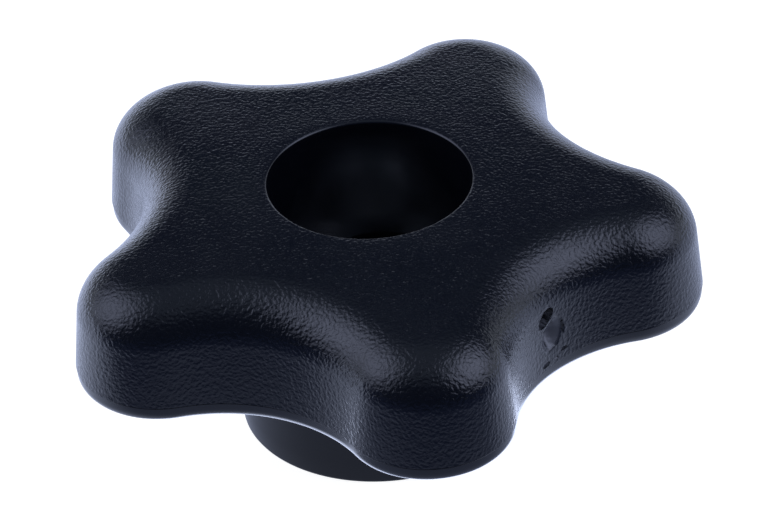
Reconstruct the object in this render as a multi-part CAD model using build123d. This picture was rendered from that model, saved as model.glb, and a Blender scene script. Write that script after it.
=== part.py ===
from build123d import *
from math import atan2, cos, degrees, radians, sin, sqrt, tan
import os

# Five-lobed clamping knob, millimetres, +Z up.
# The origin is the centre of the hub's clamping face, and the first lobe points along +X.

# Head seen from above
LOBES = 5
TIP_REACH = 30.0            # axis to the outermost point of a lobe, at the parting line
VALLEY_REACH = 21.55        # axis to the deepest point between two lobes
TIP_RADIUS = 7.85           # plan radius of a lobe's end

# Head seen from the side
HUB_HEIGHT = 12.2           # clamping face to the underside of the head
HEAD_HEIGHT = 12.85         # underside of the head to its crown, on the axis
CROWN_DROP = 1.6            # how far the crown has fallen at the tip's reach
LIP_HEIGHT = 1.75           # smooth lip under the parting line
LIP_STEP = 0.08             # how far the lip stands in from the textured wall
LIP_ROUNDING = 1.15
LIP_BEVELS = 3              # flat bevels that make up the rounding
WALL_DRAFT = 4.0            # degrees, the side wall leans in towards the crown
TOP_ROUNDING = 5.1

# Hub
HUB_RADIUS = 13.1           # where it meets the underside of the head
HUB_DRAFT = 2.0             # degrees, narrowing towards the clamping face
HUB_EDGE = 0.4              # chamfer round the clamping face

# Recess, nut pocket and stud hole
RECESS_RADIUS = 9.3
RECESS_EDGE = 0.25          # chamfer of the recess on the crown
POCKET_FLOOR = 3.0          # plastic under the nut
POCKET_LEAD = 0.3           # pocket wall that stands above the nut
STUD_HOLE_RADIUS = 5.4

# M10 hexagon nut
NUT_ACROSS_FLATS = 16.0
NUT_HEIGHT = 8.4
NUT_BORE_RADIUS = 4.188     # minor radius of the coarse thread
NUT_COUNTERSINK_RADIUS = 5.4
NUT_FACE_RADIUS = 7.75      # round face left by the chamfer of the corners
NUT_CORNER_ANGLE = 30.0     # degrees, chamfer of the corners

# Hollow underside
SHELL_WALL = 2.7
CROWN_WALL = 3.0
CAVITY_CHAMFER = 1.5        # between its side wall and its roof
WEB_THICKNESS = 2.2
WEB_SETBACK = 1.2           # web edge above the underside of the head

# Torn moulding gate in the valley between the first and the last lobe
GATE_ANGLE = -36.5          # degrees about the axis
GATE_WIDTH = 2.7
GATE_HEIGHT = 5.0
GATE_CENTRE = 5.8           # above the underside of the head
GATE_DEPTH = 0.9
GATE_STUB_TOP = 0.7         # the broken stub ends this far above the scar's centre
GATE_STUB_SINK = 0.25       # how deep the stub lies under the wall
GATE_STUB_GAP = 0.25        # between the stub and the side of the scar

SECTOR = 360.0 / LOBES
HALF = radians(SECTOR / 2)
HEAD_TOP = HUB_HEIGHT + HEAD_HEIGHT
PARTING = HUB_HEIGHT + LIP_HEIGHT
CROWN_RADIUS = (TIP_REACH**2 + CROWN_DROP**2) / (2 * CROWN_DROP)
POCKET_TOP = POCKET_FLOOR + NUT_HEIGHT + POCKET_LEAD
BASE = (Align.CENTER, Align.CENTER, Align.MIN)


def polar(radius, angle):
    """A point of the plan, from its distance to the axis and its angle in radians."""
    return Vector(radius * cos(angle), radius * sin(angle))


def star_outline(inset):
    """The head's outline moved inwards: lobe ends and valleys are arcs that meet tangentially."""
    tip_centre = TIP_REACH - TIP_RADIUS
    valley_radius = (
        tip_centre**2 + VALLEY_REACH**2 - 2 * tip_centre * cos(HALF) * VALLEY_REACH - TIP_RADIUS**2
    ) / (2 * (tip_centre * cos(HALF) + TIP_RADIUS - VALLEY_REACH))
    valley_centre = polar(VALLEY_REACH + valley_radius, HALF)
    turn = atan2(valley_centre.Y, valley_centre.X - tip_centre)
    end_radius = TIP_RADIUS - inset
    edges = []
    for lobe in range(LOBES):
        middle = radians(SECTOR * lobe)
        centre = polar(tip_centre, middle)
        right = centre + polar(end_radius, middle - turn)
        left = centre + polar(end_radius, middle + turn)
        next_centre = polar(tip_centre, middle + 2 * HALF)
        next_right = next_centre + polar(end_radius, middle + 2 * HALF - turn)
        edges.append(ThreePointArc(right, polar(TIP_REACH - inset, middle), left))
        edges.append(ThreePointArc(left, polar(VALLEY_REACH - inset, middle + HALF), next_right))
    return make_face(Wire(edges))


def crown_ball(drop):
    """A large ball whose top is the crown, moved down by drop, with its poles away from the crown."""
    return Pos(0, 0, HEAD_TOP - drop - CROWN_RADIUS) * Rot(90, 0, 0) * Sphere(CROWN_RADIUS)


def crown_height(radius):
    """Height of the crown at a distance from the axis."""
    return HEAD_TOP - CROWN_RADIUS + sqrt(CROWN_RADIUS**2 - radius**2)


def cone(bottom_radius, top_radius, low, high):
    """A tapered round bar on the axis between two heights."""
    return Pos(0, 0, low) * Cone(bottom_radius, top_radius, high - low, align=BASE)


def bar(radius, low, high):
    """A straight round bar on the axis between two heights."""
    return Pos(0, 0, low) * Cylinder(radius, high - low, align=BASE)


def hexagon(across_flats):
    return RegularPolygon(across_flats / 2, 6, major_radius=False)


def drafted_star(inset, low):
    """A star prism whose wall leans in, from a height up to above the crown."""
    return extrude(Pos(0, 0, low) * star_outline(inset), HEAD_TOP - low, taper=WALL_DRAFT)


def top_edges(block):
    return block.faces().sort_by(Axis.Z)[-1].edges()


def bottom_edges(block):
    return block.faces().sort_by(Axis.Z)[0].edges()


def lip_block():
    """The smooth lip under the parting line, its lower edge rounded in flat bevels."""
    lip = extrude(
        Pos(0, 0, HUB_HEIGHT + LIP_ROUNDING) * star_outline(LIP_STEP), LIP_HEIGHT - LIP_ROUNDING
    )
    for bevel in range(LIP_BEVELS):
        start = radians(90 * bevel / LIP_BEVELS)
        end = radians(90 * (bevel + 1) / LIP_BEVELS)
        rise = LIP_ROUNDING * (cos(start) - cos(end))
        widening = LIP_ROUNDING * (sin(end) - sin(start))
        low = HUB_HEIGHT + LIP_ROUNDING * (1 - cos(start))
        outline = star_outline(LIP_STEP + LIP_ROUNDING * (1 - sin(start)))
        lip += extrude(Pos(0, 0, low) * outline, rise, taper=-degrees(atan2(widening, rise)))
    return lip


def head_block():
    """The head as a full block: textured wall, crown and shoulder, on the smooth lip."""
    wall = drafted_star(0, PARTING) & crown_ball(0)
    return fillet(top_edges(wall), TOP_ROUNDING) + lip_block()


def hub_radius(height):
    """Outer radius of the drafted hub at a height above the clamping face."""
    return HUB_RADIUS + (height - HUB_HEIGHT) * tan(radians(HUB_DRAFT))


def hub_block():
    """The hub, from its clamping face up into the crown."""
    top = HEAD_TOP - CROWN_WALL / 2
    hub = cone(hub_radius(0), hub_radius(top), 0, top)
    return chamfer(bottom_edges(hub), HUB_EDGE)


def webs():
    """One web in each valley, from the hub to the side wall."""
    low = HUB_HEIGHT + WEB_SETBACK
    web = Box(VALLEY_REACH, WEB_THICKNESS, HEAD_TOP - low, align=(Align.MIN, Align.CENTER, Align.MIN))
    return [Rot(0, 0, SECTOR * (valley + 0.5)) * Pos(0, 0, low) * web for valley in range(LOBES)]


def cavity_block():
    """The hollow of the head: a smaller star that follows wall and crown, open at the underside."""
    hollow = drafted_star(SHELL_WALL, HUB_HEIGHT - 0.5) & crown_ball(CROWN_WALL)
    return chamfer(top_edges(hollow), CAVITY_CHAMFER) - hub_block() - webs()


def torn_gate(body):
    """The scar of the torn gate: an oval pit with a broken stub in its lower part."""
    height = HUB_HEIGHT + GATE_CENTRE
    wall = VALLEY_REACH - (height - PARTING) * tan(radians(WALL_DRAFT))
    turned = Rot(0, 0, GATE_ANGLE)
    bottom = Plane((wall - GATE_DEPTH, 0, height), x_dir=(0, 1, 0), z_dir=(1, 0, 0))
    pit = extrude(bottom * Ellipse(GATE_WIDTH / 2, GATE_HEIGHT / 2), GATE_DEPTH + 1)
    lower_part = Pos(0, GATE_STUB_TOP) * Rectangle(
        GATE_WIDTH, GATE_HEIGHT, align=(Align.CENTER, Align.MAX)
    )
    stub = Ellipse(GATE_WIDTH / 2 - GATE_STUB_GAP, GATE_HEIGHT / 2 - GATE_STUB_GAP) & lower_part
    stub = extrude(bottom * stub, GATE_DEPTH - GATE_STUB_SINK)
    return body - turned * pit + turned * stub


def knob_body():
    """The moulded knob: star shell, hub and webs, with its recess, nut pocket and stud hole."""
    body = head_block() - cavity_block() + hub_block()
    body -= bar(RECESS_RADIUS, POCKET_TOP, HEAD_TOP + 1)
    body -= Pos(0, 0, POCKET_FLOOR) * extrude(hexagon(NUT_ACROSS_FLATS), POCKET_TOP - POCKET_FLOOR)
    body -= bar(STUD_HOLE_RADIUS, -1, POCKET_FLOOR)
    rim = crown_height(RECESS_RADIUS)
    body -= cone(RECESS_RADIUS - RECESS_EDGE, RECESS_RADIUS + RECESS_EDGE, rim - 2 * RECESS_EDGE, rim)
    return torn_gate(body)


def hex_nut():
    """The pressed-in nut: corners chamfered on both sides, threaded bore countersunk."""
    corner = NUT_ACROSS_FLATS / 2 / cos(radians(30))
    chamfer_height = (corner - NUT_FACE_RADIUS) * tan(radians(NUT_CORNER_ANGLE))
    countersink = (NUT_COUNTERSINK_RADIUS - NUT_BORE_RADIUS) * tan(radians(30))
    corners = (
        cone(NUT_FACE_RADIUS, corner, 0, chamfer_height)
        + bar(corner, chamfer_height, NUT_HEIGHT - chamfer_height)
        + cone(corner, NUT_FACE_RADIUS, NUT_HEIGHT - chamfer_height, NUT_HEIGHT)
    )
    nut = extrude(hexagon(NUT_ACROSS_FLATS), NUT_HEIGHT) & corners
    nut -= bar(NUT_BORE_RADIUS, 0, NUT_HEIGHT)
    nut -= cone(NUT_COUNTERSINK_RADIUS, NUT_BORE_RADIUS, 0, countersink)
    nut -= cone(NUT_BORE_RADIUS, NUT_COUNTERSINK_RADIUS, NUT_HEIGHT - countersink, NUT_HEIGHT)
    return Pos(0, 0, POCKET_FLOOR) * nut


os.makedirs("parts", exist_ok=True)
for name, part in {"knob_body": knob_body(), "hex_nut": hex_nut()}.items():
    export_step(part, f"parts/{name}.step")
    print(name, round(part.volume), part.is_valid, len(part.solids()), part.bounding_box())
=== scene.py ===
from math import cos, pi, radians, sin, tan

import bpy
from mathutils import Matrix, Vector


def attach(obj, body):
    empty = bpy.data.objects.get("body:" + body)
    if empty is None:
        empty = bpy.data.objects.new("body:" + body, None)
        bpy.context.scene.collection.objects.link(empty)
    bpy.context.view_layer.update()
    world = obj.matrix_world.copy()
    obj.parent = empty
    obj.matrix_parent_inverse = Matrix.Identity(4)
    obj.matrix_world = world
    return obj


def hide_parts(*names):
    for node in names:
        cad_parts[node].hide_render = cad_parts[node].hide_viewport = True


# A five-lobed clamping knob: one black moulding and the steel nut pressed into it.
# The sizes are in millimetres, and MM turns them into metres.
MM = 0.001

# Head
LOBES = 5
TIP_REACH = 29.98           # a little inside the CAD model's lobe tips
VALLEY_REACH = 21.55
TIP_RADIUS = 7.85
HUB_HEIGHT = 12.2
HEAD_TOP = 25.05
CROWN_DROP = 1.6
LIP_HEIGHT = 1.75
LIP_STEP = 0.08
LIP_ROUNDING = 1.15
PARTING_GROOVE = 0.12
WALL_DRAFT = radians(4.0)
TOP_ROUNDING = 5.1
PARTING = HUB_HEIGHT + LIP_HEIGHT

# Hub, recess, nut pocket and stud hole
HUB_RADIUS = 13.1
HUB_DRAFT = radians(2.0)
HUB_EDGE = 0.4
RECESS_RADIUS = 9.3
RECESS_EDGE = 0.25
RIM_RADIUS = RECESS_RADIUS + RECESS_EDGE
POCKET_FLOOR = 3.0
POCKET_TOP = 11.7
STUD_HOLE_RADIUS = 5.4

# M10 hexagon nut
NUT_FLATS = 16.0
NUT_HEIGHT = 8.4
NUT_FACE_RADIUS = 7.75
NUT_CORNER_SLOPE = tan(radians(30.0))
THREAD_PITCH = 1.5
THREAD_MINOR_RADIUS = 4.188
THREAD_MAJOR_RADIUS = 5.0
THREAD_CREST = (0.0, 0.25)          # from and to, as shares of the pitch
THREAD_ROOT = (0.5625, 0.6875)
COUNTERSINK_RADIUS = 5.4

# Hollow underside
SHELL_WALL = 2.7
CROWN_WALL = 3.0
CAVITY_FOOT = HUB_HEIGHT - 0.5      # height at which the side wall has its full thickness
CAVITY_ROUNDING = 1.5
WEB_THICKNESS = 2.2
WEB_SETBACK = 1.2           # web edge above the underside of the head
WEB_START = 12.2            # the webs end inside the plastic of the hub, the side wall and the crown
WEB_END = 19.6
WEB_TOP = 22.15

# Torn gate, in the valley between the first and the last lobe
GATE_OFFSET = -0.12         # along the wall from the middle of the valley
GATE_MIDDLE = 17.8          # height of its middle
# Its dents: place along the wall and height from that middle, width, tallness, flat share, lean
GATE_SCOOP = (0.0, -0.45, 2.7, 3.9, 0.1, radians(20))
GATE_PIT = (-0.55, 1.68, 1.35, 2.3, 0.8, radians(55))
GATE_RIM = (-0.5, 1.6, 2.3, 3.2, 0.8, radians(55))
SCOOP_DEPTH = 0.95
PIT_DEPTH = 1.3
RIM_RISE = 0.8              # share of the scoop's depth that is missing round the pit
EDGE_RAGGEDNESS = 0.25
EDGE_WAVES = 1.1            # scale of the ragged edges' noise, per millimetre
SMOOTH_FROM = 0.15          # torn plastic deeper than this has no grain
PIT_SHADE_FROM = 0.9             # painted shade: its pale colour fades from this depth on, so the deep pit stays black
PIT_SHADE_RUN = 0.15             # and is gone this much deeper
# Nicks in and near it: the same numbers without lean, with a depth at the end
NICKS = (
    (-0.2, 0.25, 0.7, 0.8, 0.3, 0.3),
    (1.45, -0.35, 0.3, 1.7, 0.5, 0.4),
    (-0.55, -1.55, 0.2, 0.8, 0.5, 0.3),
    (-1.05, -3.35, 0.95, 0.5, 0.6, 0.35),
    (0.3, -3.35, 0.7, 0.2, 0.5, 0.12),
    (1.45, -2.85, 0.9, 0.3, 0.5, 0.32),
)

# Fineness of the meshes
RINGS_IN_FACE = 4           # the clamping face
RINGS_IN_EDGE = 4           # the small roundings of hub and recess
RINGS_IN_HUB = 12
RINGS_IN_CAVITY = 6         # for each of its roof, its rounding and its side wall
RINGS_IN_LIP = 8
RINGS_IN_WALL = 52
RINGS_IN_SHOULDER = 26
RINGS_IN_CROWN = 14
RINGS_IN_RECESS = 8
RINGS_IN_POCKET = 6
COLUMNS = 360
COLUMNS_PER_STEP_AT_GATE = 4
GATE_ZONE = 0.014           # share of a turn each side of the valley's middle
NUT_COLUMNS = 144
POINTS_IN_ARC = 96
SEAM = 0.001                # vertices closer than this are made one
SHARP_ON_KNOB = radians(30)         # edges that turn by more than this stay sharp
SHARP_ON_NUT = radians(25)

# Leather grain
GRAIN_PITCH = 0.31
GRAIN_DEPTH = 0.027
GRAIN_WINDING = 0.2         # how far the pebbles bend round one another
GRAIN_FINER = 0.35          # strength of the finer pebbles on the large ones
FURROW_LEVEL, TOP_LEVEL = 0.25, 0.75        # noise levels of the furrows and of the pebbles' tops

# Colours and gloss. SATIN, GRAINED, ZINC_GLOSS and ZINC_CLOUDS are inputs of the handling marks.
BLACK = (0.0016, 0.0021, 0.0040, 1)
# painted shade: the grain's furrows are darker than the pebbles' tops
FURROW_SHADE_BLACK = (0.0009, 0.0012, 0.0024, 1)
TORN_GREY = (0.075, 0.077, 0.092, 1)
TORN_ROUGHNESS = 0.30
SATIN = {"Scale": 90.0, "Lowest": 0.18, "Highest": 0.25, "Stretch": (1, 1, 9)}
GRAINED = {"Scale": 140.0, "Lowest": 0.20, "Highest": 0.27}
ZINC_GLOSS = {"Scale": 500.0, "Lowest": 0.24, "Highest": 0.42, "Stretch": (1, 1, 3)}
ZINC_CLOUDS = {"Scale": 260.0, "Lowest": 0.0, "Highest": 1.0}
ZINC_DARK = (0.55, 0.57, 0.60, 1)
ZINC_BRIGHT = (0.68, 0.69, 0.70, 1)
CLOUD_EDGE, CLOUD_MIDDLE = 0.3, 0.7         # noise levels where a handling mark starts and is full
TURNING_SCALE = 900.0       # scale of the fine rings that the tool left on the nut, per metre
TURNING_WOBBLE = 0.6
TURNING_DEPTH = 0.004
TURNING_STRENGTH = 0.6

# Camera, from the fit to the photograph
CAMERA_ELEVATION = radians(34.27)
CAMERA_AZIMUTH = radians(6.99)
CAMERA_ROLL = radians(2.82)
CAMERA_DISTANCE = 598.41
CAMERA_AIM = (1.51, 0.0, -9.21)     # from the middle of the crown
CAMERA_LENS = 305.81
CAMERA_SENSOR = 36.0
CAMERA_CLIP = (0.01, 20.0)          # metres

# Light. Places on the floor, lengths of rays and sizes of lamps are in metres.
FLOOR_SIZE = 6.0
FLOOR_GLOW = 0.93                   # to the camera
FLOOR_COLOUR = (0.4, 0.4, 0.4, 1)
FLOOR_IN_GLOSS = (0.11, 0.14, 0.25, 1)
GLOW_COLOUR = (0.76, 0.85, 1.12, 1)
WHITE = (1, 1, 1, 1)
LEFT_GLOW, RIGHT_GLOW = 1.9, 1.0    # the floor behind the knob, as the knob's gloss shows it
LEFT_TO_RIGHT = (-0.12, 0.02)       # where the left glow passes into the right one
GLOW_EDGE = (-0.045, -0.005)        # where both begin, from the front to the back
GLOW_SLANT = 0.12                   # how far that edge turns back towards the right
FRONT_GLOW = 0.40                   # the least glow near the knob, and where it fades out
FRONT_FADE = (0.036, 0.080)
SHADED_GLOW = 0.40                  # painted shade of the head: share of the floor's glow left under the head in front of the hub
SHADED = (0.020, 0.034)
SHADED_FRONT = (-0.005, 0.008)
LIP_HIGHLIGHT_GLOW = 2.8                      # painted highlight: the floor under the lip glows this brightly only to rays from the lip, for a bright line along its lower edge
FROM_LIP = (0.0125, 0.0138)         # rays this long come from the lip, shorter ones from the hub
BELOW_LIP = (0.022, 0.027)          # where that floor ends, from the axis
ROOM_LOW = (0.040, 0.055, 0.108, 1)
ROOM_HIGH = (0.20, 0.25, 0.36, 1)
ROOM_RISE = (0.62, 0.98)            # how steeply up the low room passes into the high one
BACKDROP_COLOUR = (0.78, 0.86, 1.04, 1)
BACKDROP_SIDES = (-0.3, 0.5)        # how far ahead the backdrop begins and is full
BACKDROP_TOP = (0.02, 0.46)         # and how steeply up it fades out
SOFT_LIGHT = (0.80, 0.88, 1.0, 1)
SOFT_STRENGTH = 0.4
LAMP_DISTANCE = 1.0
LAMP_COLOUR = (0.70, 0.77, 1.06)
LAMP_SPREAD = radians(75)           # seen from the knob, the softboxes are brightest in their middle
# Softboxes: azimuth from straight behind the knob towards the right, elevation, width, height, power
LAMPS = (
    ("softbox_left", -94.0, 37.0, 1.3, 1.4, 2.39),
    ("softbox_right", 93.0, 38.0, 1.15, 1.15, 2.0),
)


class Number:
    """A number in a node tree. Arithmetic on it adds Math nodes to the tree."""

    def __init__(self, tree, socket):
        self.tree = tree
        self.socket = socket

    def math(self, operation, *values):
        node = self.tree.nodes.new("ShaderNodeMath")
        node.operation = operation
        for place, value in enumerate(values):
            feed(self.tree, node.inputs[place], value)
        return Number(self.tree, node.outputs[0])

    def __add__(self, other):
        return self.math("ADD", self, other)

    def __radd__(self, other):
        return self.math("ADD", other, self)

    def __sub__(self, other):
        return self.math("SUBTRACT", self, other)

    def __rsub__(self, other):
        return self.math("SUBTRACT", other, self)

    def __mul__(self, other):
        return self.math("MULTIPLY", self, other)

    def __rmul__(self, other):
        return self.math("MULTIPLY", other, self)

    def __truediv__(self, other):
        return self.math("DIVIDE", self, other)

    def __rtruediv__(self, other):
        return self.math("DIVIDE", other, self)

    def __mod__(self, other):
        return self.math("FLOORED_MODULO", self, other)

    def floor(self):
        return self.math("FLOOR", self)

    def cos(self):
        return self.math("COSINE", self)

    def sin(self):
        return self.math("SINE", self)

    def root(self):
        return self.math("SQRT", self)

    def at_least(self, other):
        return self.math("MAXIMUM", self, other)

    def at_most(self, other):
        return self.math("MINIMUM", self, other)

    def angle_over(self, other):
        return self.math("ARCTAN2", self, other)

    def rise(self, start, end):
        """0 up to start, 1 from end, and a smooth curve between them."""
        node = self.tree.nodes.new("ShaderNodeMapRange")
        node.interpolation_type = "SMOOTHSTEP"
        feed(self.tree, node.inputs["Value"], self)
        feed(self.tree, node.inputs["From Min"], start)
        feed(self.tree, node.inputs["From Max"], end)
        return Number(self.tree, node.outputs["Result"])

    def toward(self, other, share):
        """This number at share 0 and the other at share 1."""
        return self + (other - self) * share


def feed(tree, socket, value):
    """Links a socket or a Number to a socket, or sets a plain value on it."""
    if isinstance(value, Number):
        tree.links.new(value.socket, socket)
    elif isinstance(value, bpy.types.NodeSocket):
        tree.links.new(value, socket)
    else:
        socket.default_value = value


def add_node(tree, kind, inputs=None, **settings):
    """A new node with its settings, and with its inputs fed by name or place."""
    node = tree.nodes.new(kind)
    for name, value in settings.items():
        setattr(node, name, value)
    for name, value in (inputs or {}).items():
        feed(tree, node.inputs[name], value)
    return node


def new_group(name, kind, inputs, outputs):
    """A node group with named sockets. Gives the tree, its inputs by name and its output node."""
    tree = bpy.data.node_groups.new(name, kind)
    for label, (socket_type, value) in inputs.items():
        socket = tree.interface.new_socket(label, in_out="INPUT", socket_type=f"NodeSocket{socket_type}")
        if value is not None:
            socket.default_value = value
    for label, socket_type in outputs.items():
        tree.interface.new_socket(label, in_out="OUTPUT", socket_type=f"NodeSocket{socket_type}")
    entry = tree.nodes.new("NodeGroupInput")
    given = {}
    for label, (socket_type, value) in inputs.items():
        socket = entry.outputs[label]
        given[label] = Number(tree, socket) if socket_type in ("Float", "Int") else socket
    return tree, given, tree.nodes.new("NodeGroupOutput")


def numbers(**sizes):
    """Group inputs that are all plain numbers."""
    return {name.replace("_", " "): ("Float", value) for name, value in sizes.items()}


def combine(tree, x=0.0, y=0.0, z=0.0):
    return add_node(tree, "ShaderNodeCombineXYZ", {"X": x, "Y": y, "Z": z}).outputs[0]


def separate(tree, vector):
    node = add_node(tree, "ShaderNodeSeparateXYZ", {"Vector": vector})
    return [Number(tree, node.outputs[axis]) for axis in "XYZ"]


def blend(tree, share, first, second):
    """The first colour at share 0 and the second at share 1. A Mix node has several sockets of the
    same name, so its colours are found by their places."""
    node = add_node(tree, "ShaderNodeMix", data_type="RGBA")
    for place, value in ((0, share), (6, first), (7, second)):
        feed(tree, node.inputs[place], value)
    return node.outputs[2]


def group_node(tree, group, inputs):
    node_type = "GeometryNodeGroup" if tree.bl_idname == "GeometryNodeTree" else "ShaderNodeGroup"
    node = tree.nodes.new(node_type)
    node.node_tree = group
    for name, value in inputs.items():
        feed(tree, node.inputs[name], value)
    return node


def turned_copies(tree, geometry, count, first_angle=0.0):
    """Copies of a geometry evenly turned about the upright axis."""
    points = add_node(tree, "GeometryNodePoints", {"Count": count}).outputs[0]
    index = Number(tree, tree.nodes.new("GeometryNodeInputIndex").outputs[0])
    angle = index * (2 * pi) / count + first_angle
    copies = add_node(tree, "GeometryNodeInstanceOnPoints", {
        "Points": points, "Instance": geometry, "Rotation": combine(tree, z=angle),
    }).outputs[0]
    return add_node(tree, "GeometryNodeRealizeInstances", {"Geometry": copies}).outputs[0]


def star_outline_group():
    """The head's outline: arcs round the lobe ends that run tangentially into arcs in the valleys."""
    tree, given, out = new_group(
        "Star outline", "GeometryNodeTree",
        numbers(Lobes=5.0, Tip_Reach=0.03, Valley_Reach=0.0215, Tip_Radius=0.008),
        {"Curve": "Geometry", "Length": "Float", "Lobe Middle": "Float"},
    )
    lobes, tip_radius, valley_reach = given["Lobes"], given["Tip Radius"], given["Valley Reach"]
    half = pi / lobes
    tip_centre = given["Tip Reach"] - tip_radius
    along_valley = tip_centre * half.cos()
    valley_radius = (
        tip_centre * tip_centre + valley_reach * valley_reach
        - 2 * along_valley * valley_reach - tip_radius * tip_radius
    ) / (2 * (along_valley + tip_radius - valley_reach))
    valley_centre_x = (valley_reach + valley_radius) * half.cos()
    valley_centre_y = (valley_reach + valley_radius) * half.sin()
    turn = valley_centre_y.angle_over(valley_centre_x - tip_centre)
    arcs = tree.nodes.new("GeometryNodeJoinGeometry")
    valley_sweep = 2 * (half - turn)
    for radius, start, sweep, x, y in (
        (valley_radius, turn + pi, valley_sweep, valley_centre_x, valley_centre_y),
        (tip_radius, -1 * turn, 2 * turn, tip_centre, 0.0),
    ):
        arc = add_node(tree, "GeometryNodeCurveArc", {
            "Resolution": POINTS_IN_ARC, "Radius": radius, "Start Angle": start, "Sweep Angle": sweep,
        }, mode="RADIUS").outputs["Curve"]
        placed = add_node(tree, "GeometryNodeTransform", {
            "Geometry": arc, "Translation": combine(tree, x, y),
        })
        tree.links.new(placed.outputs[0], arcs.inputs[0])
    feed(tree, out.inputs["Curve"], turned_copies(tree, arcs.outputs[0], lobes))
    tip_length = 2 * turn * tip_radius
    length = lobes * (tip_length - valley_sweep * valley_radius)
    feed(tree, out.inputs["Length"], length)
    feed(tree, out.inputs["Lobe Middle"], tip_length / 2 / length)
    return tree


def lookup(tree, table, name, index):
    """A number of a table object's vertex."""
    value = add_node(tree, "GeometryNodeInputNamedAttribute", {"Name": name}, data_type="FLOAT")
    sample = add_node(tree, "GeometryNodeSampleIndex", {
        "Geometry": table, "Value": value.outputs["Attribute"], "Index": index,
    }, data_type="FLOAT", domain="POINT")
    return Number(tree, sample.outputs[0])


def closed_lattice(tree, rings, columns, joined=True):
    """A mesh of rings round the axis, closed both ways. Gives it with each vertex's row and column.
    Where it isn't joined, the last column has a place of its own, a full turn on."""
    counts = []
    for points in (rings, columns):
        size = add_node(tree, "GeometryNodeAttributeDomainSize", {"Geometry": points}, component="MESH")
        counts.append(Number(tree, size.outputs["Point Count"]))
    ring_count, column_count = counts
    grid = add_node(tree, "GeometryNodeMeshGrid", {
        "Vertices X": column_count + (1 if joined else 0), "Vertices Y": ring_count + 1,
    }).outputs["Mesh"]
    index = Number(tree, tree.nodes.new("GeometryNodeInputIndex").outputs[0])
    column = ((index + 0.5) / (ring_count + 1)).floor()
    row = index - column * (ring_count + 1)
    return grid, row % ring_count, column % column_count


def placed_and_closed(tree, mesh, x, y, z):
    """The lattice with its vertices in place, and its first and last rows and columns made one."""
    placed = add_node(tree, "GeometryNodeSetPosition", {
        "Geometry": mesh, "Position": combine(tree, x, y, z),
    }).outputs[0]
    return add_node(tree, "GeometryNodeMergeByDistance", {
        "Geometry": placed, "Distance": SEAM * MM,
    }).outputs[0]


def hexagon_radius(angle, across_flats):
    """Distance from the axis to a hexagon's side, for a hexagon with a corner on +X."""
    return across_flats / 2 / (angle % (pi / 3) - pi / 6).cos()


def dent_group():
    """1 in the middle of an oval dent, as far as the share Flat, and from there down to 0 at its
    ragged edge."""
    tree, given, out = new_group(
        "Dent", "GeometryNodeTree",
        numbers(Along=0.0, Up=0.0, Width=1.0, Height=1.0, Flat=0.8, Lean=0.0, Raggedness=0.0),
        {"Inside": "Float"},
    )
    ragged = add_node(tree, "ShaderNodeTexNoise", {
        "Vector": combine(tree, given["Along"], given["Up"]), "Scale": EDGE_WAVES, "Detail": 2.0,
    })
    along, up, lean = given["Along"], given["Up"], given["Lean"]
    across = (along * lean.cos() - up * lean.sin()) * 2 / given["Width"]
    upward = (along * lean.sin() + up * lean.cos()) * 2 / given["Height"]
    distance = (across * across + upward * upward).root()
    distance = distance + (Number(tree, ragged.outputs[0]) - 0.5) * given["Raggedness"]
    feed(tree, out.inputs["Inside"], 1 - distance.rise(given["Flat"], 1.0))
    return tree


def torn_gate(tree, dent, along, up):
    """How deep the torn gate and its nicks lie in the wall: a shallow scoop under a deep open pit."""
    along, up = along / MM, up / MM

    def inside(place, height, width, tallness, flat, lean=0.0):
        made = group_node(tree, dent, {
            "Along": along - place, "Up": up - height, "Width": width, "Height": tallness,
            "Flat": flat, "Lean": lean, "Raggedness": EDGE_RAGGEDNESS,
        })
        return Number(tree, made.outputs["Inside"])

    scoop = inside(*GATE_SCOOP) * SCOOP_DEPTH * (1 - inside(*GATE_RIM) * RIM_RISE)
    depth = scoop.toward(PIT_DEPTH, inside(*GATE_PIT))
    for *oval, deepest in NICKS:
        depth = depth + inside(*oval) * deepest
    return depth * MM


def finished(tree, mesh, material):
    """The last nodes of every piece's tree."""
    smooth = add_node(tree, "GeometryNodeSetShadeSmooth", {"Geometry": mesh}).outputs[0]
    real = add_node(tree, "GeometryNodeRealizeInstances", {"Geometry": smooth}).outputs[0]
    return add_node(tree, "GeometryNodeSetMaterial", {"Geometry": real, "Material": material}).outputs[0]


def table_geometry(tree, table):
    return add_node(tree, "GeometryNodeObjectInfo", {"Object": table}).outputs["Geometry"]


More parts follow.
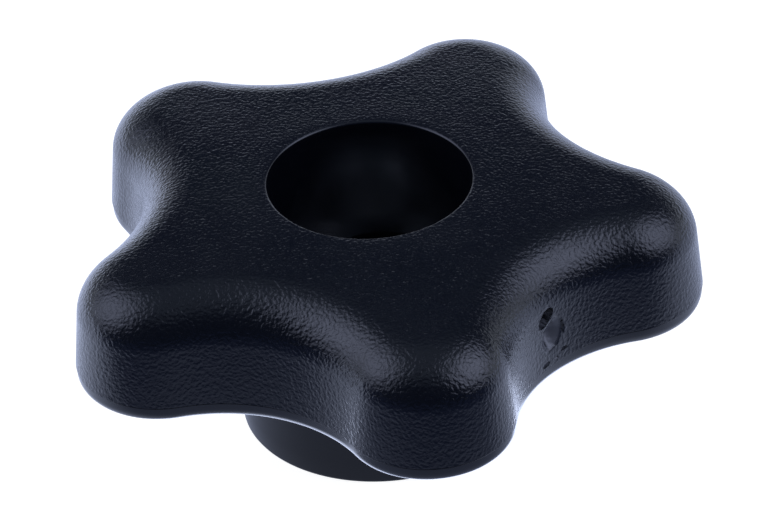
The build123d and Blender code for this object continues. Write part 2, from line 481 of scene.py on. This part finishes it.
def moulded_knob_tree():
    """The whole moulding: rings that pass from star to circle to hexagon, with webs and the gate scar."""
    tree, given, out = new_group("Moulded knob", "GeometryNodeTree", {
        "Rings": ("Object", None), "Columns": ("Object", None), "Material": ("Material", None),
        **numbers(
            Lobes=5.0, Tip_Reach=0.03, Valley_Reach=0.0215, Tip_Radius=0.008, Crown_Drop=0.0016,
            Crown_Foot=0.013, Crown_Top=0.025, Pocket_Flats=0.016, Gate_Offset=0.0, Gate_Height=0.0178,
            Web_Thickness=0.0022, Web_Bottom=0.0128, Web_Top=0.0219, Web_Start=0.0122, Web_End=0.0196,
        ),
    }, {"Geometry": "Geometry"})
    rings, columns = table_geometry(tree, given["Rings"]), table_geometry(tree, given["Columns"])
    mesh, row, column = closed_lattice(tree, rings, columns)
    turn = lookup(tree, columns, "turn", column)
    height, inset, radius, roundness, hexagon, grain = (
        lookup(tree, rings, name, row)
        for name in ("height", "inset", "radius", "roundness", "hexagon", "grain")
    )
    outline = group_node(tree, star_outline_group(), {
        name: given[name] for name in ("Lobes", "Tip Reach", "Valley Reach", "Tip Radius")
    })
    length = Number(tree, outline.outputs["Length"])
    on_outline = add_node(tree, "GeometryNodeSampleCurve", {
        "Curves": outline.outputs["Curve"],
        "Factor": (turn + Number(tree, outline.outputs["Lobe Middle"])) % 1,
    }, mode="FACTOR", use_all_curves=True)
    star_x, star_y, _ = separate(tree, on_outline.outputs["Position"])
    along_x, along_y, _ = separate(tree, on_outline.outputs["Tangent"])

    gate_turn = given["Gate Offset"] / length - 0.5 / given["Lobes"]
    along_wall = (turn - gate_turn) * length
    torn = grain * torn_gate(tree, dent_group(), along_wall, height - given["Gate Height"])
    inset = inset + torn
    angle = turn * (2 * pi)
    radius = radius.toward(hexagon_radius(angle, given["Pocket Flats"]), hexagon)
    x = (star_x - along_y * inset).toward(angle.cos() * radius, roundness)
    y = (star_y + along_x * inset).toward(angle.sin() * radius, roundness)
    reach = (x * x + y * y).root() / given["Tip Reach"]
    lift = (height - given["Crown Foot"]) / (given["Crown Top"] - given["Crown Foot"])
    drop = given["Crown Drop"] * reach * reach * lift.at_least(0).at_most(1)
    torn_share = (torn / (SMOOTH_FROM * MM)).at_most(1)
    # the torn plastic is paler, and painted shade fades that out deep in the pit
    pale = torn_share - ((torn - PIT_SHADE_FROM * MM) / (PIT_SHADE_RUN * MM)).at_least(0).at_most(1)
    marked = mesh
    for name, value in (("grain", grain * (1 - torn_share)), ("torn", pale)):
        marked = add_node(tree, "GeometryNodeStoreNamedAttribute", {
            "Geometry": marked, "Name": name, "Value": value,
        }, data_type="FLOAT", domain="POINT").outputs[0]
    shell = placed_and_closed(tree, marked, x, y, height - drop)

    start, end, bottom, top = (given[f"Web {side}"] for side in ("Start", "End", "Bottom", "Top"))
    web = add_node(tree, "GeometryNodeMeshCube", {
        "Size": combine(tree, end - start, given["Web Thickness"], top - bottom),
    }).outputs["Mesh"]
    web = add_node(tree, "GeometryNodeTransform", {
        "Geometry": web, "Translation": combine(tree, (end + start) / 2, 0.0, (top + bottom) / 2),
    }).outputs[0]
    whole = add_node(tree, "GeometryNodeMeshBoolean", operation="UNION", solver="MANIFOLD")
    tree.links.new(turned_copies(tree, web, given["Lobes"], pi / given["Lobes"]), whole.inputs["Mesh 2"])
    tree.links.new(shell, whole.inputs["Mesh 2"])
    feed(tree, out.inputs["Geometry"], finished(tree, whole.outputs["Mesh"], given["Material"]))
    return tree


def hex_nut_tree():
    """A hexagon nut whose rings climb along the thread inside and meet the chamfered corners outside."""
    tree, given, out = new_group("Hexagon nut", "GeometryNodeTree", {
        "Rings": ("Object", None), "Columns": ("Object", None), "Material": ("Material", None),
        **numbers(
            Flats=0.016, Height=0.0084, Seat=0.003, Pitch=0.0015, Face_Radius=0.00775, Corner_Slope=0.577,
            Countersink_Radius=0.0054,
        ),
    }, {"Geometry": "Geometry"})
    rings, columns = table_geometry(tree, given["Rings"]), table_geometry(tree, given["Columns"])
    mesh, row, column = closed_lattice(tree, rings, columns, joined=False)
    turn = lookup(tree, columns, "turn", column)
    climb, radius, side, threaded, hexagon = (
        lookup(tree, rings, name, row) for name in ("climb", "radius", "side", "threaded", "hexagon")
    )
    angle = turn * (2 * pi)
    corner = hexagon_radius(angle, given["Flats"])
    radius = radius.toward(corner, hexagon)
    face_height = given["Height"] * side
    chamfer = hexagon * (corner - given["Face Radius"]) * given["Corner Slope"] * (1 - 2 * side)
    thread_height = (given["Pitch"] * (climb + turn)).at_least(0).at_most(given["Height"])
    height = (face_height + chamfer).toward(thread_height, threaded)
    to_face = thread_height.at_most(given["Height"] - thread_height)
    countersink = given["Countersink Radius"] - to_face / given["Corner Slope"]
    radius = radius.at_least(countersink * threaded)
    nut = placed_and_closed(
        tree, mesh, angle.cos() * radius, angle.sin() * radius, height + given["Seat"]
    )
    nut = add_node(tree, "GeometryNodeFlipFaces", {"Mesh": nut}).outputs[0]
    feed(tree, out.inputs["Geometry"], finished(tree, nut, given["Material"]))
    return tree


def steps(start, end, count):
    """Evenly spaced values after the start, up to the end."""
    return [start + (end - start) * step / count for step in range(1, count + 1)]


def ring(height, inset=0.0, radius=0.0, roundness=0.0, hexagon=0.0, grain=0.0):
    """One ring of the moulding: the star moved inwards, or a circle or hexagon, as roundness rises."""
    return {
        "height": height * MM, "inset": inset * MM, "radius": radius * MM,
        "roundness": roundness, "hexagon": hexagon, "grain": grain,
    }


def round_ring(height, radius, hexagon=0.0):
    return ring(height, radius=radius, roundness=1.0, hexagon=hexagon)


def hub_radius(height):
    """The hub narrows a little towards the clamping face."""
    return HUB_RADIUS + (height - HUB_HEIGHT) * tan(HUB_DRAFT)


def shoulder(top, rounding, foot_inset, foot_height, count):
    """Insets and heights of the rounding between a leaning wall and the flat above, from the wall up."""
    height = top - rounding
    inset = foot_inset + (height - foot_height) * tan(WALL_DRAFT) + rounding / cos(WALL_DRAFT)
    return [
        (inset - rounding * cos(lean), height + rounding * sin(lean))
        for lean in (WALL_DRAFT, *steps(WALL_DRAFT, pi / 2, count))
    ]


def hub_and_cavity_rings():
    """From the stud hole over the clamping face, up the hub, along the cavity's roof and down its wall."""
    face = hub_radius(0) - HUB_EDGE
    roof = HEAD_TOP - CROWN_WALL
    cavity = shoulder(roof, CAVITY_ROUNDING, SHELL_WALL, CAVITY_FOOT, RINGS_IN_CAVITY)
    rings = [
        round_ring(0, radius)
        for radius in (STUD_HOLE_RADIUS, *steps(STUD_HOLE_RADIUS, face, RINGS_IN_FACE))
    ]
    rings += [
        round_ring(HUB_EDGE * (1 - cos(turn)), face + HUB_EDGE * sin(turn))
        for turn in steps(0, pi / 2, RINGS_IN_EDGE)
    ]
    rings += [round_ring(height, hub_radius(height)) for height in steps(HUB_EDGE, roof, RINGS_IN_HUB)]
    rings += [
        ring(roof, inset=cavity[-1][0], radius=hub_radius(roof), roundness=share)
        for share in steps(1, 0, RINGS_IN_CAVITY)
    ]
    rings += [ring(height, inset=inset) for inset, height in reversed(cavity[:-1])]
    foot = (HUB_HEIGHT - CAVITY_FOOT) * tan(WALL_DRAFT) + SHELL_WALL
    wall_inset, wall_top = cavity[0]
    return rings + [
        ring(wall_top + (HUB_HEIGHT - wall_top) * share, inset=wall_inset + (foot - wall_inset) * share)
        for share in steps(0, 1, RINGS_IN_CAVITY)
    ]


def head_rings():
    """From the underside of the head round the lip, up the grained wall and over the crown."""
    outside = shoulder(HEAD_TOP, TOP_ROUNDING, 0.0, PARTING, RINGS_IN_SHOULDER)
    lip_inset = LIP_STEP + LIP_ROUNDING
    rings = [
        ring(HUB_HEIGHT + LIP_ROUNDING * (1 - cos(turn)), inset=lip_inset - LIP_ROUNDING * sin(turn))
        for turn in (0, *steps(0, pi / 2, RINGS_IN_LIP))
    ]
    rings += [
        ring(PARTING - PARTING_GROOVE, inset=LIP_STEP),
        ring(PARTING, inset=LIP_STEP + PARTING_GROOVE),
        ring(PARTING, grain=1.0),
    ]
    rings += [
        ring(height, inset=(height - PARTING) * tan(WALL_DRAFT), grain=1.0)
        for height in steps(PARTING, outside[0][1], RINGS_IN_WALL)
    ]
    rings += [ring(height, inset=inset, grain=1.0) for inset, height in outside[1:]]
    return rings + [
        ring(HEAD_TOP, inset=outside[-1][0], radius=RIM_RADIUS, roundness=share, grain=1.0)
        for share in steps(0, 1, RINGS_IN_CROWN)
    ]


def recess_rings():
    """From the rim of the recess down into the hexagon pocket and through the stud hole."""
    rings = [
        round_ring(HEAD_TOP - RECESS_EDGE * (1 - cos(turn)), RIM_RADIUS - RECESS_EDGE * sin(turn))
        for turn in steps(0, pi / 2, RINGS_IN_EDGE)
    ]
    rings += [
        round_ring(height, RECESS_RADIUS)
        for height in steps(HEAD_TOP - RECESS_EDGE, POCKET_TOP, RINGS_IN_RECESS)
    ]
    rings += [
        round_ring(height, 0.0, hexagon=1.0)
        for height in (POCKET_TOP, *steps(POCKET_TOP, POCKET_FLOOR, RINGS_IN_POCKET))
    ]
    return rings + [round_ring(height, STUD_HOLE_RADIUS) for height in (POCKET_FLOOR, POCKET_FLOOR / 2)]


def moulding_columns():
    """Shares of a turn, closer together where the gate scar needs them."""
    gate = 1 / (2 * LOBES)
    turns = []
    for step in range(COLUMNS):
        start = step / COLUMNS - 0.5
        count = COLUMNS_PER_STEP_AT_GATE if abs(start + gate) < GATE_ZONE else 1
        turns += [start, *steps(start, start + 1 / COLUMNS, count)[:-1]]
    return [{"turn": turn} for turn in turns]


def nut_ring(radius=0.0, side=0.0, climb=0.0, threaded=0.0, hexagon=0.0):
    """One ring of the nut: on the thread at a climb in pitches, or on a face, a circle or the hexagon."""
    return {
        "radius": radius * MM, "side": side, "climb": climb, "threaded": threaded, "hexagon": hexagon,
    }


def nut_rings():
    """Rings of the thread from the bottom face up, then over the top face and down the flats."""
    section = [(share, THREAD_MINOR_RADIUS) for share in THREAD_CREST]
    section += [(share, THREAD_MAJOR_RADIUS) for share in THREAD_ROOT]
    past_top = int(NUT_HEIGHT / THREAD_PITCH) + 2       # the tree holds what climbs past a face flat on it
    rings = [
        nut_ring(radius=radius, climb=turn + share, threaded=1.0)
        for turn in range(-1, past_top) for share, radius in section
    ]
    return rings + [
        nut_ring(radius=NUT_FACE_RADIUS, side=1.0), nut_ring(side=1.0, hexagon=1.0),
        nut_ring(side=0.0, hexagon=1.0), nut_ring(radius=NUT_FACE_RADIUS, side=0.0),
    ]


def point_table(name, rows):
    """Points that carry numbers by name, for a node tree to read in order."""
    mesh = bpy.data.meshes.new(name)
    mesh.vertices.add(len(rows))
    for label in rows[0]:
        values = mesh.attributes.new(label, "FLOAT", "POINT")
        values.data.foreach_set("value", [row[label] for row in rows])
    made = bpy.data.objects.new(name, mesh)
    bpy.context.collection.objects.link(made)
    return made


def made_by(tree, name, rings, columns, material, sizes, sharp_from):
    """The plain mesh piece that a node tree makes from its tables and sizes."""
    piece = bpy.data.objects.new(name, bpy.data.meshes.new(name))
    bpy.context.collection.objects.link(piece)
    modifier = piece.modifiers.new("Shape", "NODES")
    modifier.node_group = tree
    tables = {"Rings": point_table("rings", rings), "Columns": point_table("columns", columns)}
    sockets = {
        item.name: item.identifier for item in tree.interface.items_tree if item.in_out == "INPUT"
    }
    for label, value in {**tables, **sizes, "Material": material}.items():
        modifier[sockets[label]] = value
    made = piece.evaluated_get(bpy.context.evaluated_depsgraph_get())
    mesh = bpy.data.meshes.new_from_object(made)
    piece.modifiers.remove(modifier)
    piece.data = mesh
    mesh.name = name
    mesh.set_sharp_from_angle(angle=sharp_from)
    for used in tables.values():
        bpy.data.objects.remove(used)
    return piece


def leather_grain_group():
    """Fine moulded leather grain: small soft pebbles that run into one another."""
    tree, given, out = new_group(
        "Leather grain", "ShaderNodeTree", numbers(Pitch=0.0004, Winding=0.2), {"Height": "Float"},
    )
    place = tree.nodes.new("ShaderNodeTexCoord").outputs["Object"]
    pebbles = add_node(tree, "ShaderNodeTexNoise", {
        "Vector": place, "Scale": 1 / given["Pitch"], "Detail": 1.0, "Roughness": GRAIN_FINER,
        "Distortion": given["Winding"],
    })
    feed(tree, out.inputs["Height"], Number(tree, pebbles.outputs[0]).rise(FURROW_LEVEL, TOP_LEVEL))
    return tree


def handling_marks_group():
    """Soft clouds of more and less gloss. Stretch makes them that much thinner along an axis."""
    tree, given, out = new_group("Handling marks", "ShaderNodeTree", {
        **numbers(Scale=200.0, Lowest=0.3, Highest=0.5), "Stretch": ("Vector", (1.0, 1.0, 1.0)),
    }, {"Value": "Float"})
    place = tree.nodes.new("ShaderNodeTexCoord").outputs["Object"]
    stretched = add_node(
        tree, "ShaderNodeVectorMath", {0: place, 1: given["Stretch"]}, operation="MULTIPLY",
    ).outputs[0]
    clouds = add_node(tree, "ShaderNodeTexNoise", {
        "Vector": stretched, "Scale": given["Scale"], "Detail": 4.0,
    })
    share = Number(tree, clouds.outputs[0]).rise(CLOUD_EDGE, CLOUD_MIDDLE)
    feed(tree, out.inputs["Value"], given["Lowest"].toward(given["Highest"], share))
    return tree


def new_material(name):
    """A material with one Principled shader. Gives it with its tree and the shader's inputs."""
    material = bpy.data.materials.new(name)
    material.use_nodes = True
    tree = material.node_tree
    shader = next(node for node in tree.nodes if node.type == "BSDF_PRINCIPLED")
    return material, tree, shader.inputs


def black_polyamide(leather, marks):
    """Moulded black plastic: leather grain on the head's outside, with painted shade in its furrows, satin
    on lip, hub and recess.
    Where the gate is torn it is dull and a little paler, but painted shade keeps the deepest part of its
    pit black."""
    material, tree, shader = new_material("black_polyamide")
    grained, torn = (
        Number(tree, add_node(tree, "ShaderNodeAttribute", attribute_name=name).outputs["Fac"])
        for name in ("grain", "torn")
    )
    pebbles = Number(tree, group_node(tree, leather, {
        "Pitch": GRAIN_PITCH * MM, "Winding": GRAIN_WINDING,
    }).outputs["Height"])
    smooth, rough = (
        Number(tree, group_node(tree, marks, finish).outputs["Value"]) for finish in (SATIN, GRAINED)
    )
    feed(tree, shader["Roughness"], smooth.toward(rough, grained).toward(TORN_ROUGHNESS, torn))
    # painted shade darkens the furrows between the pebbles
    furrow_shade = (1 - pebbles) * grained
    moulded = blend(tree, furrow_shade, BLACK, FURROW_SHADE_BLACK)
    feed(tree, shader["Base Color"], blend(tree, torn, moulded, TORN_GREY))
    bump = add_node(tree, "ShaderNodeBump", {
        "Height": pebbles * grained, "Distance": GRAIN_DEPTH * MM, "Strength": 1.0,
    })
    feed(tree, shader["Normal"], bump.outputs[0])
    return material


def zinc_plated_steel(marks):
    """Bright zinc over turned and cold-formed steel."""
    material, tree, shader = new_material("zinc_plated_steel")
    feed(tree, shader["Roughness"], group_node(tree, marks, ZINC_GLOSS).outputs["Value"])
    clouds = group_node(tree, marks, ZINC_CLOUDS)
    feed(tree, shader["Base Color"], blend(tree, clouds.outputs["Value"], ZINC_DARK, ZINC_BRIGHT))
    place = tree.nodes.new("ShaderNodeTexCoord").outputs["Object"]
    turning = add_node(tree, "ShaderNodeTexWave", {
        "Vector": place, "Scale": TURNING_SCALE, "Distortion": TURNING_WOBBLE,
    }, wave_type="RINGS", rings_direction="Z")
    bump = add_node(tree, "ShaderNodeBump", {
        "Height": turning.outputs[0], "Distance": TURNING_DEPTH * MM, "Strength": TURNING_STRENGTH,
    })
    feed(tree, shader["Normal"], bump.outputs[0])
    shader["Metallic"].default_value = 1.0
    return material


def seen_directly(tree):
    """1 for rays from the camera, and 1 for all that show the background, in gloss and glass too."""
    path = tree.nodes.new("ShaderNodeLightPath")
    camera, glossy, through = (
        Number(tree, path.outputs[f"Is {kind} Ray"]) for kind in ("Camera", "Glossy", "Transmission")
    )
    return camera, camera.at_least(glossy).at_least(through)


def pale_floor():
    """A floor that is white to the camera and keeps the knob's shadow. The knob's gloss shows it
    bluish, bright behind the knob and dim before it, with painted shade under the head and a
    painted highlight that only the lip's lower edge shows."""
    material, tree, shader = new_material("pale_floor")
    camera, shown = seen_directly(tree)
    x, y, _ = separate(tree, tree.nodes.new("ShaderNodeTexCoord").outputs["Object"])
    away = (x * x + y * y).root()
    ray_length = Number(tree, tree.nodes.new("ShaderNodeLightPath").outputs["Ray Length"])
    # painted highlight: only rays from the lip see this glow, as a bright line along its lower edge
    lip_highlight = ray_length.rise(*FROM_LIP) * (1 - away.rise(*BELOW_LIP)) * LIP_HIGHLIGHT_GLOW
    front = (1 - away.rise(*FRONT_FADE)) * FRONT_GLOW
    behind = LEFT_GLOW + x.rise(*LEFT_TO_RIGHT) * (RIGHT_GLOW - LEFT_GLOW)
    back = (y - x * GLOW_SLANT).rise(*GLOW_EDGE) * behind
    # painted shade: the head's shadow dims the floor's glow under it
    lit = away.rise(*SHADED).at_least(y.rise(*SHADED_FRONT))
    in_gloss = (back * (SHADED_GLOW + lit * (1 - SHADED_GLOW))).at_least(lip_highlight).at_least(front)
    glow = in_gloss.toward(FLOOR_GLOW, camera)
    feed(tree, shader["Base Color"], blend(tree, shown - camera, FLOOR_COLOUR, FLOOR_IN_GLOSS))
    shader["Roughness"].default_value = 1.0
    shader["Specular IOR Level"].default_value = 0.0
    feed(tree, shader["Emission Color"], blend(tree, camera, GLOW_COLOUR, WHITE))
    feed(tree, shader["Emission Strength"], shown * glow)
    bpy.ops.mesh.primitive_plane_add(size=FLOOR_SIZE)
    floor = bpy.context.object
    floor.name = "floor"
    floor.data.materials.append(material)


def studio_world():
    """White to the camera. In gloss it is a pale backdrop behind the knob and a dimmer room over it,
    and to all else a plain soft light."""
    world = bpy.data.worlds.new("studio")
    bpy.context.scene.world = world
    world.use_nodes = True
    tree = world.node_tree
    tree.nodes.clear()
    camera, shown = seen_directly(tree)
    _, ahead, up = separate(tree, tree.nodes.new("ShaderNodeTexCoord").outputs["Generated"])
    room = blend(tree, up.rise(*ROOM_RISE), ROOM_LOW, ROOM_HIGH)
    share = ahead.rise(*BACKDROP_SIDES) * (1 - up.rise(*BACKDROP_TOP))
    backdrop = blend(tree, share, room, BACKDROP_COLOUR)
    white = add_node(tree, "ShaderNodeBackground", {
        "Color": blend(tree, camera, backdrop, WHITE), "Strength": 1.0,
    })
    soft = add_node(tree, "ShaderNodeBackground", {"Color": SOFT_LIGHT, "Strength": SOFT_STRENGTH})
    both = add_node(tree, "ShaderNodeMixShader", {0: shown, 1: soft.outputs[0], 2: white.outputs[0]})
    out = tree.nodes.new("ShaderNodeOutputWorld")
    tree.links.new(both.outputs[0], out.inputs[0])


def softbox(name, azimuth, elevation, width, height, power):
    """A rectangular lamp that faces the middle of the knob."""
    lamp = bpy.data.lights.new(name, "AREA")
    lamp.shape = "RECTANGLE"
    lamp.size, lamp.size_y = width, height
    lamp.energy, lamp.color, lamp.spread = power, LAMP_COLOUR, LAMP_SPREAD
    held = bpy.data.objects.new(name, lamp)
    bpy.context.collection.objects.link(held)
    azimuth, elevation = radians(azimuth), radians(elevation)
    out = Vector((sin(azimuth) * cos(elevation), cos(azimuth) * cos(elevation), sin(elevation)))
    held.location = out * LAMP_DISTANCE + Vector((0, 0, HUB_HEIGHT * MM))
    held.rotation_euler = out.to_track_quat("Z", "Y").to_euler()


def photograph_camera():
    """The camera of the photograph, turned a little about its own axis."""
    crown = Vector((0, 0, HEAD_TOP))
    heading = Matrix.Rotation(CAMERA_AZIMUTH, 3, "Z")
    outward = heading @ Vector((0, -cos(CAMERA_ELEVATION), sin(CAMERA_ELEVATION)))
    place = outward * CAMERA_DISTANCE + crown
    aim = heading @ Vector(CAMERA_AIM) + crown
    ahead = (aim - place).normalized()
    turned = Matrix.Rotation(CAMERA_ROLL, 3, ahead)
    camera = bpy.data.objects.new("camera", bpy.data.cameras.new("camera"))
    bpy.context.collection.objects.link(camera)
    right = turned @ ahead.cross(Vector((0, 0, 1))).normalized()
    up = right.cross(ahead)
    axes = Matrix((right, up, -ahead)).transposed().to_4x4()
    camera.matrix_world = Matrix.Translation(place * MM) @ axes
    camera.data.sensor_width = CAMERA_SENSOR
    camera.data.lens = CAMERA_LENS
    camera.data.clip_start, camera.data.clip_end = CAMERA_CLIP
    bpy.context.scene.camera = camera


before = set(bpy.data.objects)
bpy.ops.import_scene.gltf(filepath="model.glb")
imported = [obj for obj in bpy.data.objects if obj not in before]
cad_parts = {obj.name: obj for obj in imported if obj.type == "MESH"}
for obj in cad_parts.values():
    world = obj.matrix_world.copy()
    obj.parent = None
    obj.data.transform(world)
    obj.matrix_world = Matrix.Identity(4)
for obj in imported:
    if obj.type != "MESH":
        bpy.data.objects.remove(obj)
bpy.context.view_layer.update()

leather, marks = leather_grain_group(), handling_marks_group()
knob = made_by(
    moulded_knob_tree(), "moulded_knob", hub_and_cavity_rings() + head_rings() + recess_rings(),
    moulding_columns(), black_polyamide(leather, marks), {
        "Lobes": float(LOBES), "Tip Reach": TIP_REACH * MM, "Valley Reach": VALLEY_REACH * MM,
        "Tip Radius": TIP_RADIUS * MM, "Crown Drop": CROWN_DROP * MM, "Crown Foot": PARTING * MM,
        "Crown Top": HEAD_TOP * MM, "Pocket Flats": NUT_FLATS * MM, "Gate Offset": GATE_OFFSET * MM,
        "Gate Height": GATE_MIDDLE * MM, "Web Thickness": WEB_THICKNESS * MM,
        "Web Bottom": (HUB_HEIGHT + WEB_SETBACK) * MM, "Web Top": WEB_TOP * MM,
        "Web Start": WEB_START * MM, "Web End": WEB_END * MM,
    }, SHARP_ON_KNOB,
)
nut = made_by(
    hex_nut_tree(), "threaded_nut", nut_rings(),
    [{"turn": step / NUT_COLUMNS} for step in range(NUT_COLUMNS + 1)], zinc_plated_steel(marks), {
        "Flats": NUT_FLATS * MM, "Height": NUT_HEIGHT * MM, "Seat": POCKET_FLOOR * MM,
        "Pitch": THREAD_PITCH * MM, "Face Radius": NUT_FACE_RADIUS * MM,
        "Corner Slope": NUT_CORNER_SLOPE, "Countersink Radius": COUNTERSINK_RADIUS * MM,
    }, SHARP_ON_NUT,
)
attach(knob, "root")
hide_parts("knob_body")
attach(nut, "root")
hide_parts("hex_nut")

pale_floor()
studio_world()
for lamp in LAMPS:
    softbox(*lamp)
photograph_camera()
bpy.context.scene.view_settings.view_transform = "Standard"
